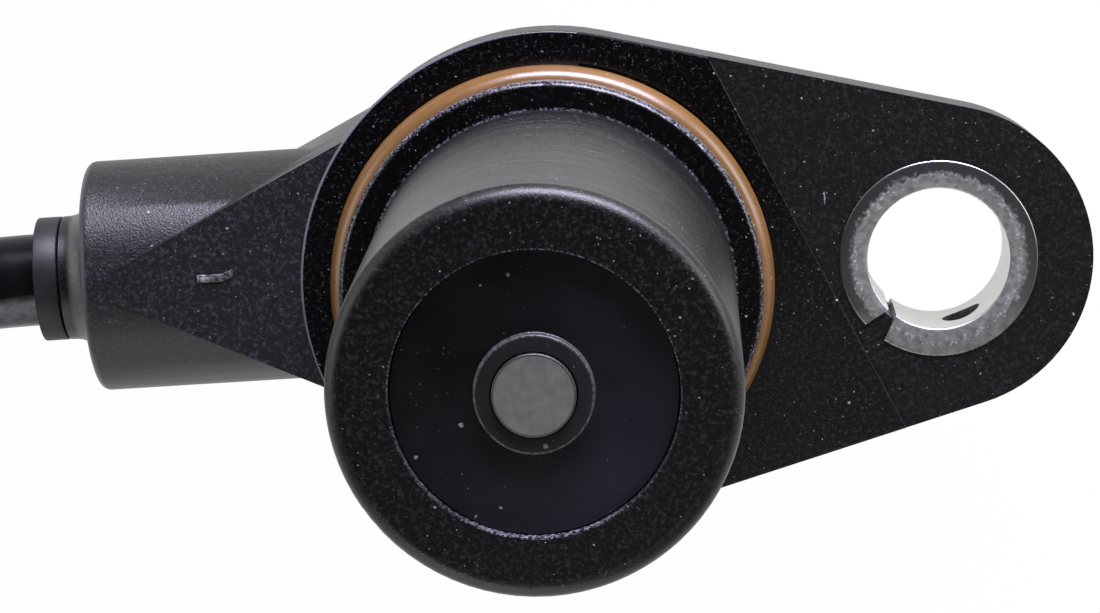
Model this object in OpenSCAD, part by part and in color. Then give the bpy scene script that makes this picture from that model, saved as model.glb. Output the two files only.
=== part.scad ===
// Inductive crankshaft position sensor with a bolt-on flange and a flying lead.
// The barrel points up along Z. The origin is the centre of the flange's seat face,
// +X runs to the bolt hole and the lead leaves along -X. All sizes are in millimetres.

/* [Barrel] */
// Diameter of the barrel that enters the engine block
barrel_d = 18; // [17:0.5:19]
// Height of the barrel's tip above the seat face
barrel_len = 28; // [25:0.5:34]
// Rounding of the tip's outer edge
tip_round = 0.8; // [0.3:0.1:1.2]
// Depth of the recess in the tip
tip_recess = 0.55; // [0.3:0.05:0.8]

/* [Seal] */
// Thickness of the O-ring's cord
seal_cord = 1.7; // [1.5:0.1:2.1]
// Diameter of the groove's floor
groove_d = 18.3; // [18:0.1:18.8]
// Free width of the groove beside the O-ring
groove_room = 0.25; // [0.05:0.05:0.4]
// Depth of the O-ring's bed below the seat face
seal_bed = 0.1; // [0.05:0.01:0.12]
// Diameter of the lip that keeps the O-ring in its groove
lip_d = 20.7; // [20.2:0.1:21.2]
// Thickness of that lip
lip_t = 1.05; // [0.8:0.05:1.5]
// Rounding of the lip's upper edge
lip_round = 0.3; // [0.1:0.05:0.4]

/* [Flange] */
// Diameter of the round boss around the barrel
boss_d = 25; // [24:0.1:26]
// Diameter of the ear around the bolt hole
ear_d = 15.2; // [14:0.1:17]
// Distance from the barrel's axis to the bolt hole
ear_x = 19.05; // [17.5:0.05:22]
// Thickness of the flange
flange_t = 5; // [4:0.1:6]
// Draft of the flange's side walls, in degrees
flange_draft = 2; // [0.5:0.5:3]
// Rounding of the flange's front edge
front_round = 0.12; // [0.08:0.02:0.4]
// Rounding of the flange's back edge
back_round = 0.8; // [0.4:0.1:1.2]
// How far the ear and the neck's web lie below the seat face
seat_step = 0.15; // [0.05:0.05:0.3]
// Distance from the barrel's axis to the line where the ear steps down
step_line = 12; // [11.5:0.1:12.2]
// Direction of that line's normal, in degrees from the bolt hole
step_angle = 24.5; // [0:0.5:30]

/* [Bushing] */
// Outer diameter of the steel bushing in the ear
bushing_d = 9.7; // [9:0.1:10.5]
// Bore of the bushing, for an M6 bolt
bushing_bore = 7; // [6.4:0.1:7.4]
// How far the bushing stands out of both faces of the ear
bushing_proud = 0.1; // [0.05:0.05:0.3]
// Depth of the bevel on its outer edges
bushing_bevel = 0.12; // [0.05:0.01:0.3]
// Width of that bevel
bevel_w = 0.15; // [0.1:0.05:0.4]
// Width of the split at the outside
split_outer = 1.2; // [0.8:0.1:1.6]
// Width of the split at the bore
split_inner = 0.5; // [0.3:0.05:0.7]
// Distance from the bolt's bore to the plastic in the split
key_gap = 0.25; // [0.1:0.05:0.5]
// Direction of the split, in degrees
split_angle = -133.5; // [-170:0.5:-100]
// Diameter of the grip hole in the bushing's wall
grip_hole_d = 2; // [1.2:0.1:2.4]
// Direction of the grip hole, in degrees
grip_angle = -71; // [-85:1:-40]

/* [Neck and head] */
// Diameter of the neck that the lead leaves through
neck_d = 11.7; // [10.8:0.1:11.8]
// Distance from the barrel's axis to the neck's end
neck_len = 23.5; // [22.5:0.1:26]
// Sideways offset of the neck from the barrel's axis
neck_side = 0.8; // [0:0.1:1.4]
// Rounding of the neck's end
neck_round = 0.45; // [0.3:0.05:1.2]
// Radius of the cove between the neck's end and its nozzle
cove_r = 1.2; // [0.5:0.1:1.4]
// Width of the flat ring on the neck's end, between its rounding and the cove
end_ring = 1.05; // [0.5:0.05:1.1]
// Length of the nozzle past the cove
nozzle_len = 0.25; // [0.1:0.05:0.6]
// Distance from the barrel's axis to the point where the web's two walls would meet
web_x = 23.5; // [22:0.1:25]
// Sideways offset of the web and the head from the barrel's axis
web_side = 1.1; // [0:0.1:1.4]
// Length of the web that is left off at its point
web_end = 1.5; // [1:0.1:4]
// Diameter of the head behind the flange, from which the web's walls run out
head_d = 20.4; // [19:0.1:20.8]
// Depth of the head's back face below the seat face
head_depth = 12; // [12:0.1:13]
// Rounding of the head's back edge
head_round = 1; // [0.4:0.1:1.6]

/* [Coil unit] */
// Diameter of the bobbin
bobbin_d = 12.4; // [12:0.1:13]
// Thickness of the bobbin's two flanges
bobbin_flange = 1.2; // [0.8:0.1:1.6]
// Length of the winding
winding_len = 15.5; // [13:0.5:16]
// Diameter of the winding
winding_d = 10.9; // [9:0.1:11.4]
// Diameter of the bobbin's nose around the pole pin
nose_d = 5.2; // [4.8:0.1:5.6]
// Diameter of the soft iron pole pin
pole_d = 3.65; // [3.2:0.05:4]
// How far the pole pin stands out of the barrel's tip
pole_proud = 0.2; // [0.1:0.05:0.4]
// Diameter of the magnet
magnet_d = 9; // [8:0.1:9.4]
// Thickness of the magnet
magnet_len = 5; // [4:0.1:6]
// Width of the square coil terminals
terminal_w = 0.8; // [0.6:0.05:0.9]
// Distance from the barrel's axis to the terminals
terminal_x = 5.3; // [5.2:0.05:5.4]
// Diameter of each insulated core of the lead
core_d = 1.5; // [1.2:0.1:1.7]
// Distance between the two cores
core_pitch = 2; // [1.8:0.1:2.2]

/* [Lead] */
// Diameter of the lead
cable_d = 4.7; // [4.5:0.1:4.8]
// Diameter of the grommet's collar
collar_d = 6.3; // [5.8:0.1:6.6]
// Length of the grommet's collar
collar_len = 1.2; // [0.8:0.1:2]
// Diameter of the grommet's neck behind its collar
grommet_d = 5.4; // [5.3:0.1:5.6]
// Length of the grommet inside the neck
grommet_len = 5; // [3:0.5:6]
// Gap between the collar and the neck's nozzle
collar_gap = 0.1; // [0.05:0.05:0.4]

/* [Connector] */
// Length of the connector's shell
shell_len = 30; // [28:0.5:36]
// Width of the shell at its socket
shell_w = 17; // [16:0.5:19]
// Height of the shell at its socket
shell_h = 12.8; // [12.4:0.1:12.8]
// Wall of the socket
shell_wall = 1.5; // [1.2:0.1:1.6]
// Depth of the socket
socket_depth = 13; // [10:0.5:14]
// Rounding of the shell's edges
shell_round = 2; // [1.6:0.1:2.4]
// Width of the shell's slimmer rear part
rear_w = 14.4; // [13.6:0.1:15]
// Height of the shell's slimmer rear part
rear_h = 10.6; // [10:0.1:11]
// Length of that rear part
rear_len = 11; // [9:0.5:12]
// Width of each contact blade
contact_w = 1.6; // [1.2:0.1:2]
// Thickness of each contact blade
contact_t = 0.6; // [0.5:0.05:0.8]
// Distance between the contacts
contact_pitch = 4; // [3.6:0.1:4.2]
// Length of the contacts inside the socket
contact_reach = 9.5; // [7:0.5:10.5]
// Diameter of the rubber boot at the connector's rear
boot_d = 8.4; // [7.6:0.1:9]
// Length of the boot outside the shell
boot_len = 5; // [4:0.5:6]
// Width of the cable tie's strap
tie_w = 2.6; // [2:0.1:4]
// Thickness of the strap
tie_t = 0.9; // [0.7:0.1:1.2]

/* [Hidden] */
$fn = 96;

// Room left between a moulded part and what it is moulded or pressed around
fit = 0.05;
// Extra length of a cut past the face it opens
over = 1;

barrel_r = barrel_d / 2;
groove_w = seal_cord + groove_room;
lip_top = groove_w + lip_t;
seal_ring_r = groove_d / 2 + fit + seal_cord / 2;
bed_r = seal_ring_r + seal_cord / 2 + 2 * fit;

// Levels inside the barrel, from the tip down
bobbin_top = barrel_len - tip_recess;
winding_top = bobbin_top - bobbin_flange;
winding_bottom = winding_top - winding_len;
magnet_top = winding_bottom - bobbin_flange;
magnet_bottom = magnet_top - magnet_len;
nose_hole_d = pole_d + 2 * fit;
cup_bore = magnet_d + 2 * fit;
bore_r = bobbin_d / 2 + fit;

// Half angle of the web's point: its walls leave the head's side as tangents
head_r = head_d / 2;
web_angle = asin(head_r / web_x);

// Axis of the neck
neck_r = neck_d / 2;
neck_z = -seat_step - neck_r;
nozzle_r = neck_r - neck_round - cove_r - end_ring;
nozzle_end = neck_len + cove_r + nozzle_len;
collar_in = nozzle_end + collar_gap;
collar_out = collar_in + collar_len;
grommet_in = nozzle_end - grommet_len;
terminal_foot = 2.2;
terminal_grip = 3;

// Bushing in the ear, between the lowered ear face and the flange's back
bushing_top = -seat_step + bushing_proud;
bushing_len = flange_t - seat_step + 2 * bushing_proud;
bushing_wall = (bushing_d - bushing_bore) / 2;

// The lead's free route: out of the grommet and down to the coil, then from the coil to the connector
cable_route = [
  [-20, 0.8, -6], [-24, 0.8, -6], [-26.5, 0.8, -6], [-28, 0.7, -6], [-29.5, 0.6, -6.1],
  [-31, 0.4, -6.3], [-32.5, 0.1, -6.5], [-34, -0.2, -6.8]
];
tail_route = [[-40.2, 40, -5.6], [-37, 40, -5.6], [-34, 40, -5.6], [-31, 40, -5.6], [-28, 40, -5.6], [-25, 40, -5.6]];
coil_at = [-60, 16];
coil_r = 24;
coil_half_w = 4.85;
floor_z = -head_depth;
coil_h = 9.7;
coil_round = 2;
tie_angle = 200;
tie_head = [4.6, 4.4, 3.4];

// Connector: its axis runs along +X from the rear face of its shell
shell_at = [-30, 40, -5.6];
socket_floor = shell_len - socket_depth;
socket_w = shell_w - 2 * shell_wall;
socket_h = shell_h - 2 * shell_wall;
boot_plug_len = 5;
boot_shoulder = 0.7;
boot_plug_d = boot_d - 2 * boot_shoulder;
contact_in = 9.5;
lock_x = 13.5;
lock_len = 2.4;
lock_side = 1.5;
lock_w = rear_w - 2 * lock_side;
lock_h = 4.2;

// A right-angled corner of size r with a round edge, as a flat shape to revolve
module rounded_disc(r, h, edge) {
  square([r - edge, h]);
  square([r, h - edge]);
  translate([r - edge, h - edge]) circle(edge);
}

// Places a child that is drawn along +Z so that it runs along -X on the neck's axis
module on_neck() {
  translate([0, neck_side, neck_z]) rotate([0, -90, 0]) children();
}

// One end of the flange: drafted wall, rounded front edge and rounded back edge
module flange_post(r) {
  shrink = flange_t * tan(flange_draft);
  bend = 0.3;
  translate([0, 0, -front_round]) cylinder(r1 = r, r2 = r - bend * front_round, h = (1 - bend) * front_round);
  translate([0, 0, -bend * front_round])
    cylinder(r1 = r - bend * front_round, r2 = r - front_round, h = bend * front_round);
  translate([0, 0, -flange_t + back_round])
    cylinder(r1 = r - shrink, r2 = r, h = flange_t - back_round - front_round);
  translate([0, 0, -flange_t + bend * back_round])
    cylinder(r1 = r - shrink - bend * back_round, r2 = r - shrink, h = (1 - bend) * back_round);
  translate([0, 0, -flange_t])
    cylinder(r1 = r - shrink - back_round, r2 = r - shrink - bend * back_round, h = bend * back_round);
}

// Boss and ear of the flange in one convex plate
module flange_plate() {
  difference() {
    hull() {
      flange_post(boss_d / 2);
      translate([ear_x, 0, 0]) flange_post(ear_d / 2);
    }
    rotate([0, 0, step_angle])
      translate([step_line, -2 * ear_x, -seat_step]) cube([2 * ear_x, 4 * ear_x, over]);
  }
}

// Web with a flat face that carries the flange out onto the neck, and straight walls down to the head's back edge
module neck_web() {
  root_x = -head_r * sin(web_angle);
  root_w = head_r * cos(web_angle);
  end_w = web_end * tan(web_angle);
  foot = -head_depth + head_round;
  translate([0, web_side, foot]) linear_extrude(-seat_step - foot)
    polygon([[root_x, root_w], [web_end - web_x, end_w], [web_end - web_x, -end_w], [root_x, -root_w]]);
}

// Neck with a rounded end, a cove and a short nozzle around the grommet
module neck_body() {
  on_neck() rotate_extrude() {
    square([neck_r - neck_round, neck_len]);
    square([neck_r, neck_len - neck_round]);
    translate([neck_r - neck_round, neck_len - neck_round]) circle(neck_round);
    square([nozzle_r, nozzle_end]);
    difference() {
      square([nozzle_r + cove_r, neck_len + cove_r]);
      translate([nozzle_r + cove_r, neck_len + cove_r]) circle(cove_r);
    }
  }
}

// Head behind the flange, where the coil's terminals meet the lead
module head_body() {
  translate([0, web_side, -flange_t / 2]) mirror([0, 0, 1])
    rotate_extrude() rounded_disc(head_r, head_depth - flange_t / 2, head_round);
}

// Barrel with its rounded tip, the lip and the groove of the O-ring
module barrel_body() {
  translate([0, 0, -flange_t / 2]) cylinder(d = groove_d, h = flange_t / 2 + groove_w + lip_t / 2);
  translate([0, 0, groove_w]) rotate_extrude() rounded_disc(lip_d / 2, lip_t, lip_round);
  translate([0, 0, lip_top - lip_t / 2])
    rotate_extrude() rounded_disc(barrel_r, barrel_len - lip_top + lip_t / 2, tip_round);
}

// Space that the coil unit, its terminals, the cores and the grommet take up in the housing
module housing_cavity() {
  translate([0, 0, magnet_bottom - fit]) cylinder(r = bore_r, h = barrel_len - magnet_bottom + fit + over);
  for (side = [-1, 1]) {
    y = neck_side + side * core_pitch / 2;
    room = terminal_w + 2 * fit;
    translate([-terminal_x - room / 2, y - room / 2, neck_z - room / 2])
      cube([room, room, magnet_bottom + terminal_grip + fit - neck_z + room / 2]);
    translate([-terminal_x - terminal_foot - fit, y - room / 2, neck_z - room / 2])
      cube([terminal_foot + room / 2, room, room]);
    translate([-grommet_in - fit, y, neck_z]) rotate([0, 90, 0])
      cylinder(d = core_d + 2 * fit, h = grommet_in - terminal_x - terminal_foot + 2 * fit);
  }
  on_neck() translate([0, 0, grommet_in - fit]) cylinder(d = grommet_d + 2 * fit, h = grommet_len + over);
}

// Half the width of the bushing's split at a distance from the bolt's axis
function split_half(r) = (split_inner + (split_outer - split_inner) * (r - bushing_bore / 2) / bushing_wall) / 2;

// Plastic that fills the bushing's split and keeps the bushing from turning
module split_key() {
  tip_r = bushing_bore / 2 + key_gap;
  root_r = bushing_d / 2 + 2 * fit;
  tip_half = split_half(tip_r) - fit;
  root_half = split_half(bushing_d / 2) - fit;
  translate([ear_x, 0, -flange_t]) rotate([0, 0, split_angle]) linear_extrude(flange_t - seat_step)
    polygon([[tip_r, tip_half], [root_r, root_half], [root_r, -root_half], [tip_r, -tip_half]]);
}

module housing() {
  color("#1b1b1d") {
    difference() {
      union() {
        barrel_body();
        flange_plate();
        neck_web();
        neck_body();
        head_body();
      }
      housing_cavity();
      seal_seat();
      translate([ear_x, 0, -flange_t - over]) cylinder(d = bushing_d + 2 * fit, h = flange_t + 2 * over);
    }
    split_key();
  }
}

// Shallow bed around the groove, so that the O-ring starts just below the seat face
module seal_seat() {
  translate([0, 0, -seal_bed]) difference() {
    cylinder(r = bed_r, h = seal_bed + groove_w / 2);
    cylinder(d = groove_d, h = seal_bed + groove_w);
  }
}

module o_ring() {
  color("#b06a2c") translate([0, 0, (groove_w - seal_bed) / 2])
    rotate_extrude() translate([seal_ring_r, 0]) circle(d = seal_cord);
}

// Rolled steel bushing: bevelled outside, split once, with one grip hole through its wall
module bushing() {
  outer_r = bushing_d / 2;
  inner_r = bushing_bore / 2;
  color("#8d8d8a") translate([ear_x, 0, bushing_top - bushing_len]) difference() {
    rotate_extrude() polygon([
      [inner_r, 0], [outer_r - bevel_w, 0], [outer_r, bushing_bevel],
      [outer_r, bushing_len - bushing_bevel], [outer_r - bevel_w, bushing_len], [inner_r, bushing_len]
    ]);
    rotate([0, 0, split_angle]) translate([0, 0, -over]) linear_extrude(bushing_len + 2 * over)
      polygon([
        [inner_r - over, split_inner / 2], [inner_r, split_inner / 2], [outer_r, split_outer / 2],
        [outer_r + over, split_outer / 2], [outer_r + over, -split_outer / 2], [outer_r, -split_outer / 2],
        [inner_r, -split_inner / 2], [inner_r - over, -split_inner / 2]
      ]);
    rotate([0, 0, grip_angle]) translate([0, 0, bushing_len / 2]) rotate([0, 90, 0])
      cylinder(d = grip_hole_d, h = outer_r + over);
  }
}

// Bobbin: two flanges on a tube, a nose at the tip and a cup for the magnet
module bobbin() {
  color("#202024") difference() {
    union() {
      translate([0, 0, magnet_bottom]) cylinder(d = bobbin_d, h = winding_bottom - magnet_bottom);
      translate([0, 0, winding_bottom - fit]) cylinder(d = nose_d, h = barrel_len - winding_bottom + fit);
      translate([0, 0, winding_top]) cylinder(d = bobbin_d, h = bobbin_flange);
    }
    translate([0, 0, magnet_bottom - over]) cylinder(d = nose_hole_d, h = barrel_len - magnet_bottom + 2 * over);
    translate([0, 0, magnet_bottom - over]) cylinder(d = cup_bore, h = magnet_len + over + fit);
    for (side = [-1, 1]) {
      room = terminal_w + 2 * fit;
      translate([-terminal_x - room / 2, neck_side + side * core_pitch / 2 - room / 2, magnet_bottom - over])
        cube([room, room, terminal_grip + over + fit]);
    }
  }
}

module coil_winding() {
  color("#a5562b") translate([0, 0, winding_bottom + fit]) difference() {
    cylinder(d = winding_d, h = winding_len - 2 * fit);
    translate([0, 0, -over]) cylinder(d = nose_d + 2 * fit, h = winding_len + 2 * over);
  }
}

module pole_pin() {
  color("#8a8a86") translate([0, 0, magnet_top + fit])
    cylinder(d = pole_d, h = barrel_len + pole_proud - magnet_top - fit);
}

module magnet() {
  color("#55565a") translate([0, 0, magnet_bottom]) cylinder(d = magnet_d, h = magnet_len);
}

// Coil terminal: a post in the bobbin with a foot that runs out to the lead's core
module terminal(side) {
  y = neck_side + side * core_pitch / 2;
  color("#c9b26a") {
    translate([-terminal_x - terminal_w / 2, y - terminal_w / 2, neck_z - terminal_w / 2])
      cube([terminal_w, terminal_w, magnet_bottom + terminal_grip - neck_z + terminal_w / 2]);
    translate([-terminal_x - terminal_foot, y - terminal_w / 2, neck_z - terminal_w / 2])
      cube([terminal_foot, terminal_w, terminal_w]);
  }
}

module terminal_a() {
  terminal(-1);
}

module terminal_b() {
  terminal(1);
}

// Insulated core between a terminal's foot and the lead's sheath
module core(side, shade) {
  color(shade) translate([-grommet_in, neck_side + side * core_pitch / 2, neck_z]) rotate([0, 90, 0])
    cylinder(d = core_d, h = grommet_in - terminal_x - terminal_foot);
}

module core_a() {
  core(-1, "#7a4a2a");
}

module core_b() {
  core(1, "#d8d6cf");
}

// Grommet that seals the lead in the neck, with the collar that shows outside
module cable_grommet() {
  color("#17171a") on_neck() difference() {
    union() {
      translate([0, 0, grommet_in]) cylinder(d = grommet_d, h = collar_in - grommet_in);
      translate([0, 0, collar_in]) rotate_extrude() rounded_disc(collar_d / 2, collar_len, collar_gap / 2);
    }
    translate([0, 0, grommet_in - over]) cylinder(d = cable_d + 2 * fit, h = collar_out - grommet_in + 2 * over);
  }
}

// Sweeps a round tube along a route of points
module tube_along(route, d, sides) {
  n = len(route);
  heading = [for (i = [0 : n - 1]) let (v = route[min(i + 1, n - 1)] - route[max(i - 1, 0)]) v / norm(v)];
  rings = [for (i = [0 : n - 1])
    let (across = cross(heading[i], [0, 0, 1]), u = across / norm(across), w = cross(u, heading[i]))
    for (k = [0 : sides - 1]) route[i] + d / 2 * (cos(360 * k / sides) * u + sin(360 * k / sides) * w)];
  walls = [for (i = [0 : n - 2]) for (k = [0 : sides - 1]) let (m = (k + 1) % sides)
    [i * sides + k, i * sides + m, (i + 1) * sides + m, (i + 1) * sides + k]];
  first = [for (k = [sides - 1 : -1 : 0]) k];
  last = [for (k = [0 : sides - 1]) (n - 1) * sides + k];
  polyhedron(points = rings, faces = concat(walls, [first, last]), convexity = 4);
}

module cable() {
  color("#0e0e10") tube_along(cable_route, cable_d, 12);
}

module cable_tail() {
  color("#0e0e10") tube_along(tail_route, cable_d, 12);
}

// Outer shape of the coiled lead, with a notch under the tie's strap
module cable_coil() {
  color("#0e0e10") translate([coil_at.x, coil_at.y, floor_z]) difference() {
    rotate_extrude() translate([coil_r - coil_half_w, 0]) {
      translate([0, coil_round]) square([2 * coil_half_w, coil_h - 2 * coil_round]);
      translate([coil_round, 0]) square([2 * coil_half_w - 2 * coil_round, coil_h]);
      for (x = [coil_round, 2 * coil_half_w - coil_round], y = [coil_round, coil_h - coil_round])
        translate([x, y]) circle(coil_round);
    }
    rotate([0, 0, tie_angle]) translate([coil_r - coil_half_w - over, -tie_w / 2 - fit, -over])
      cube([2 * coil_half_w + 2 * over, tie_w + 2 * fit, tie_t + over + fit]);
  }
}

// Zip tie around the coil's bundle, with its head on the outside
module cable_tie() {
  inner_w = 2 * coil_half_w + 2 * fit;
  inner_h = coil_h - tie_t + 2 * fit;
  color("#1c1c1c") translate([coil_at.x, coil_at.y, floor_z]) rotate([0, 0, tie_angle]) {
    translate([coil_r, tie_w / 2, 0]) rotate([90, 0, 0]) linear_extrude(tie_w) difference() {
      translate([-inner_w / 2 - tie_t, 0]) square([inner_w + 2 * tie_t, inner_h + 2 * tie_t]);
      translate([-inner_w / 2, tie_t]) square([inner_w, inner_h]);
    }
    translate([coil_r + inner_w / 2 + tie_t, -tie_head.y / 2, coil_h / 2]) cube([tie_head.z, tie_head.y, tie_head.x]);
  }
}

// Block along +X with its four long edges rounded
module rounded_bar(x0, x1, w, h, edge) {
  translate([x0, 0, 0]) rotate([90, 0, 90]) linear_extrude(x1 - x0) {
    square([w - 2 * edge, h], center = true);
    square([w, h - 2 * edge], center = true);
    for (sy = [-1, 1], sz = [-1, 1]) translate([sy * (w / 2 - edge), sz * (h / 2 - edge)]) circle(edge);
  }
}

// Connector shell: slim rear, wider socket hood, two key ribs and a latch ramp
module connector_shell() {
  rib_w = 1.4;
  rib_h = 0.7;
  rib_inset = 1;
  rib_start = rear_len + 2 * rib_inset;
  ramp_w = 4.6;
  ramp_h = 1.5;
  ramp_len = 5;
  ramp_inset = 4;
  ramp_x = shell_len - ramp_inset - ramp_len;
  color("#1b1b1d") translate(shell_at) difference() {
    union() {
      rounded_bar(0, rear_len + over, rear_w, rear_h, shell_round);
      rounded_bar(rear_len, shell_len, shell_w, shell_h, shell_round);
      for (side = [-1, 1]) translate([rib_start, side * shell_w / 4 - rib_w / 2, shell_h / 2 - over])
        cube([shell_len - rib_inset - rib_start, rib_w, rib_h + over]);
      translate([ramp_x, ramp_w / 2, shell_h / 2 - over]) rotate([90, 0, 0]) linear_extrude(ramp_w)
        polygon([[0, 0], [ramp_len, 0], [ramp_len, over], [ramp_len / 3, over + ramp_h], [0, over + ramp_h]]);
    }
    rounded_bar(socket_floor, shell_len + over, socket_w, socket_h, shell_round - shell_wall / 2);
    translate([-over, 0, 0]) rotate([0, 90, 0]) cylinder(d = boot_plug_d + 2 * fit, h = boot_plug_len + over + fit);
    for (i = [-1 : 1]) translate([contact_in - fit, i * contact_pitch - contact_w / 2 - fit, -contact_t / 2 - fit])
      cube([socket_floor - contact_in + over, contact_w + 2 * fit, contact_t + 2 * fit]);
    translate([boot_plug_len, -contact_pitch - core_d, -core_d / 2 - fit])
      cube([contact_in - boot_plug_len, 2 * contact_pitch + 2 * core_d, core_d + 2 * fit]);
    translate([lock_x - fit, -lock_w / 2 - fit, -lock_h / 2 - shell_h])
      cube([lock_len + 2 * fit, lock_w + 2 * fit, lock_h + shell_h + fit]);
  }
}

// Flat contact blade that stands in the socket
module contact(i) {
  y = (i - 2) * contact_pitch;
  tip = 1.2;
  end_x = socket_floor + contact_reach;
  color("#c7c2b4") translate(shell_at) translate([0, y, -contact_t / 2]) linear_extrude(contact_t)
    polygon([
      [contact_in, -contact_w / 2], [end_x - tip, -contact_w / 2], [end_x, -contact_w / 4],
      [end_x, contact_w / 4], [end_x - tip, contact_w / 2], [contact_in, contact_w / 2]
    ]);
}

module contact_1() {
  contact(1);
}

module contact_2() {
  contact(2);
}

module contact_3() {
  contact(3);
}

// Wire of the lead that fans out from the boot to its contact
module wire(i, shade) {
  y = (i - 2) * contact_pitch;
  y_lead = (i - 2) * core_d;
  straight = (contact_in - boot_plug_len) / 4;
  route = [
    [boot_plug_len, y_lead, 0], [boot_plug_len + straight, y_lead, 0],
    [contact_in - straight, y, 0], [contact_in, y, 0]
  ];
  color(shade) translate(shell_at) tube_along(route, core_d - 2 * fit, 8);
}

module wire_1() {
  wire(1, "#7a4a2a");
}

module wire_2() {
  wire(2, "#3a3a3c");
}

module wire_3() {
  wire(3, "#d8d6cf");
}

// Rubber boot that seals the lead in the connector's rear
module connector_boot() {
  rib = 0.5;
  color("#141416") translate(shell_at) rotate([0, -90, 0]) difference() {
    union() {
      translate([0, 0, -boot_plug_len]) cylinder(d = boot_plug_d, h = boot_plug_len + over);
      cylinder(d = boot_d, h = boot_len / 2);
      cylinder(d1 = boot_d, d2 = cable_d + 2 * rib, h = boot_len);
    }
    translate([0, 0, -boot_plug_len - over]) cylinder(d = cable_d + 2 * fit, h = boot_len + boot_plug_len + 2 * over);
  }
}

// Lock that slides in from below and keeps the contacts in place
module contact_lock() {
  color("#7d8186") translate(shell_at) difference() {
    translate([lock_x, -lock_w / 2, -rear_h / 2]) cube([lock_len, lock_w, rear_h / 2 + lock_h / 2]);
    for (i = [-1 : 1]) translate([lock_x - over, i * contact_pitch - contact_w / 2 - fit, -contact_t / 2 - fit])
      cube([lock_len + 2 * over, contact_w + 2 * fit, contact_t + 2 * fit]);
  }
}

housing();
o_ring();
bushing();
bobbin();
coil_winding();
pole_pin();
magnet();
terminal_a();
terminal_b();
core_a();
core_b();
cable_grommet();
cable();
cable_coil();
cable_tail();
cable_tie();
connector_shell();
contact_1();
contact_2();
contact_3();
wire_1();
wire_2();
wire_3();
connector_boot();
contact_lock();
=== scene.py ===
# %% [markdown]
# # Dressing a crankshaft position sensor
# The CAD model already gives every piece of this sensor its true size and place. This lesson gives it its
# looks in Blender: softened edges, a lead that lies as a lead does, and materials with the grain, dust and
# wear of the real thing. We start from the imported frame, because every new piece has to sit where the CAD
# piece sits.

# %% Load the frame
import math

import bpy
from mathutils import Matrix, Vector


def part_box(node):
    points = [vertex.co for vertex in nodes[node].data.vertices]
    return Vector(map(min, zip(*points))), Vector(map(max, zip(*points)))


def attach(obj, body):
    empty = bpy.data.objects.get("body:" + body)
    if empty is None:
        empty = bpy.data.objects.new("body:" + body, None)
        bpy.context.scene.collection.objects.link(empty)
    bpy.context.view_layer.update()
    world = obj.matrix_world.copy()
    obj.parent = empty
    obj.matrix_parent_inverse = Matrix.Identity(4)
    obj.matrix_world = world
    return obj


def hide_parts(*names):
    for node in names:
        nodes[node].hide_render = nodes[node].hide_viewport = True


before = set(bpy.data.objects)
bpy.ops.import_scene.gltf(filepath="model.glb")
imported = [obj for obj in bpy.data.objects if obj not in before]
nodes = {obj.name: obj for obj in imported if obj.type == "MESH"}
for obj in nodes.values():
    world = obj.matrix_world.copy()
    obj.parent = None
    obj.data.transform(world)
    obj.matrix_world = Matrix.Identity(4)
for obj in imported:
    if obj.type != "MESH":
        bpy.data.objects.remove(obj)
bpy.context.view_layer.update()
MM = 0.001

# %% [markdown]
# ## Camera
# The photograph looks almost straight down the barrel with a long lens. A camera can be placed by eye, but
# here circles of known size (tip, seal, bushing) were fitted to the picture, which gives the camera's
# place, its three axes and its lens. We write those axes straight into the camera's matrix, so there is
# nothing to aim.

# %% Camera
CAMERA_AT = Vector((7.8117, 32.8227, 192.6881)) * MM
CAMERA_RIGHT = Vector((0.99725195, -0.06791742, -0.02959339))
CAMERA_UP = Vector((0.06169042, 0.98247027, -0.17591608))
CAMERA_BACK = Vector((0.04102239, 0.17360702, 0.98396025))
FOCAL_PX, IMAGE_W, FILM_W = 3958.88, 1100, 36

camera_data = bpy.data.cameras.new("photo_camera")
camera_data.sensor_width = FILM_W
camera_data.lens = FOCAL_PX / IMAGE_W * FILM_W
camera_data.clip_start = 0.01
camera_data.clip_end = 20
camera = bpy.data.objects.new("photo_camera", camera_data)
bpy.context.scene.collection.objects.link(camera)
turn = Matrix((CAMERA_RIGHT, CAMERA_UP, CAMERA_BACK)).transposed().to_4x4()
camera.matrix_world = Matrix.Translation(CAMERA_AT) @ turn
bpy.context.scene.camera = camera
print("lens:", round(camera_data.lens, 2), "mm")

# %% [markdown]
# ## Small helpers for modelling
# Operators work on whatever is selected, and loading the frame leaves all the CAD nodes selected. So each
# piece starts by clearing the selection. Faces, points and edges are then picked in code, by their place
# or normal. The other helpers finish a piece: put its place into its mesh, shade it, and hand it to the
# body that it rides on.


# %% Selection helpers
def start_clean():
    if bpy.context.object and bpy.context.object.mode != "OBJECT":
        bpy.ops.object.mode_set(mode="OBJECT")
    bpy.ops.object.select_all(action="DESELECT")


def make_active(piece):
    start_clean()
    piece.select_set(True)
    bpy.context.view_layer.objects.active = piece


def start_picking(kind):
    bpy.ops.mesh.select_mode(type=kind)
    bpy.ops.mesh.select_all(action="DESELECT")
    bpy.ops.object.mode_set(mode="OBJECT")


def select_faces(piece, test):
    start_picking("FACE")
    for face in piece.data.polygons:
        face.select = test(face)
    bpy.ops.object.mode_set(mode="EDIT")


def select_points(piece, test):
    start_picking("VERT")
    for point in piece.data.vertices:
        point.select = test(point.co)
    bpy.ops.object.mode_set(mode="EDIT")


def select_sharp_edges(piece, test, angle=30):
    start_picking("EDGE")
    mesh, beside = piece.data, {}
    for face in mesh.polygons:
        for key in face.edge_keys:
            beside.setdefault(key, []).append(face.normal)
    for edge in mesh.edges:
        pair = beside.get(edge.key, [])
        bent = len(pair) == 2 and pair[0].angle(pair[1], 0) > math.radians(angle)
        edge.select = bent and all(test(mesh.vertices[i].co) for i in edge.vertices)
    bpy.ops.object.mode_set(mode="EDIT")


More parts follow.
